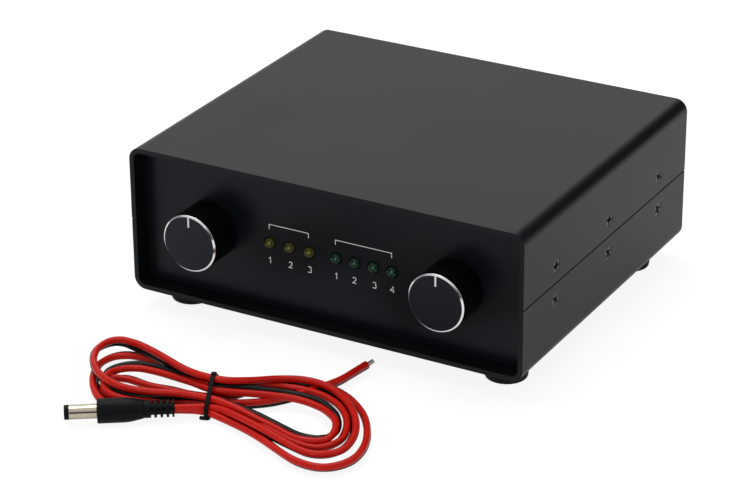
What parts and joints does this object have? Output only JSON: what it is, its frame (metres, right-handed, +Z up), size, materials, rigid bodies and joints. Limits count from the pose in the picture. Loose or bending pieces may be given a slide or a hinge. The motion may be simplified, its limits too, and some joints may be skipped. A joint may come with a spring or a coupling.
{
  "type": "coaxial antenna switch",
  "caption": "Desktop coaxial antenna switch: low two-part metal case with turning selector knobs, rows of indicator lamps and threaded sockets behind, with its loose tied power lead.",
  "frame": {"origin": "on the table, under the middle of the switch without its lead", "axes": "+X to the right seen from the front, +Y from the front panel to the back, +Z up"},
  "size_m": [0.17, 0.2482, 0.0682],
  "materials": {
    "case_paint": "fine matt black-grey powder coat",
    "panel_paint": "matt black",
    "zinc_steel": "bright zinc",
    "black_steel": "black oxide",
    "foot_rubber": "matt",
    "knob_aluminium": "black anodised, bright cut bevel",
    "yellow_lens": "tinted clear lens",
    "green_lens": "tinted clear lens",
    "circuit_board": "green solder mask",
    "white_nylon": "natural",
    "relay_case": "satin black",
    "black_moulding": "moulded",
    "capacitor_can": "sleeved",
    "grey_ribbon": "matt",
    "switch_zinc": "die cast",
    "switch_laminate": "laminate",
    "shaft_brass": "turned",
    "nickel_plate": "bright nickel",
    "socket_insulation": "white",
    "wire_copper": "tinned copper",
    "lead_insulation_red": "vinyl, red",
    "lead_insulation_black": "vinyl, black",
    "printed_ink": "off-white print",
    "plug_moulding": "moulded vinyl",
    "tinned_wire": "tinned"
  },
  "bodies": {
    "box": {"antenna_lamps": "yellow_lens", "antenna_relays": "relay_case", "antenna_sockets": "nickel_plate", "board_pillars": "white_nylon", "bottom_cover": "case_paint", "capacitors": "capacitor_can", "feet": "foot_rubber", "foot_screws": "zinc_steel", "front_panel": "panel_paint", "lamp_board": "circuit_board", "lamp_board_pillars": "white_nylon", "lead_hank": "lead_insulation_red", "lead_plug": "plug_moulding", "lead_tail": "lead_insulation_red", "lead_tie": "plug_moulding", "left_side_rail": "zinc_steel", "main_board": "circuit_board", "panel_nuts": "zinc_steel", "plug_barrel": "nickel_plate", "plug_tip": "plug_moulding", "power_jack": "black_moulding", "power_jack_nut": "zinc_steel", "power_jack_pin": "nickel_plate", "rear_panel": "panel_paint", "rear_wires": "wire_copper", "right_side_rail": "zinc_steel", "selector_cables": "grey_ribbon", "side_screws": "black_steel", "socket_contacts": "shaft_brass", "socket_insulators": "socket_insulation", "socket_nuts": "nickel_plate", "switch_bodies": "switch_zinc", "switch_nuts": "zinc_steel", "switch_wafers": "switch_laminate", "top_cover": "case_paint", "transceiver_lamps": "green_lens", "transceiver_relays": "relay_case", "transceiver_sockets": "nickel_plate", "voltage_regulator": "black_moulding", "wire_ends": "tinned_wire"},
    "antenna_selector": {"antenna_knob": "knob_aluminium", "antenna_knob_screw": "black_steel", "antenna_switch_shaft": "shaft_brass", "antenna_switch_rotor": "white_nylon"},
    "transceiver_selector": {"transceiver_knob": "knob_aluminium", "transceiver_knob_screw": "black_steel", "transceiver_switch_shaft": "shaft_brass", "transceiver_switch_rotor": "white_nylon"}
  },
  "joints": [
    {"name": "antenna_select", "type": "hinge", "parent": "box", "child": "antenna_selector", "pos_m": [-0.0533, -0.06, 0.0374], "axis": [0, 1, 0], "range_deg": [-30, 30]},
    {"name": "transceiver_select", "type": "hinge", "parent": "box", "child": "transceiver_selector", "pos_m": [0.0533, -0.06, 0.0374], "axis": [0, 1, 0], "range_deg": [-30, 60]}
  ]
}
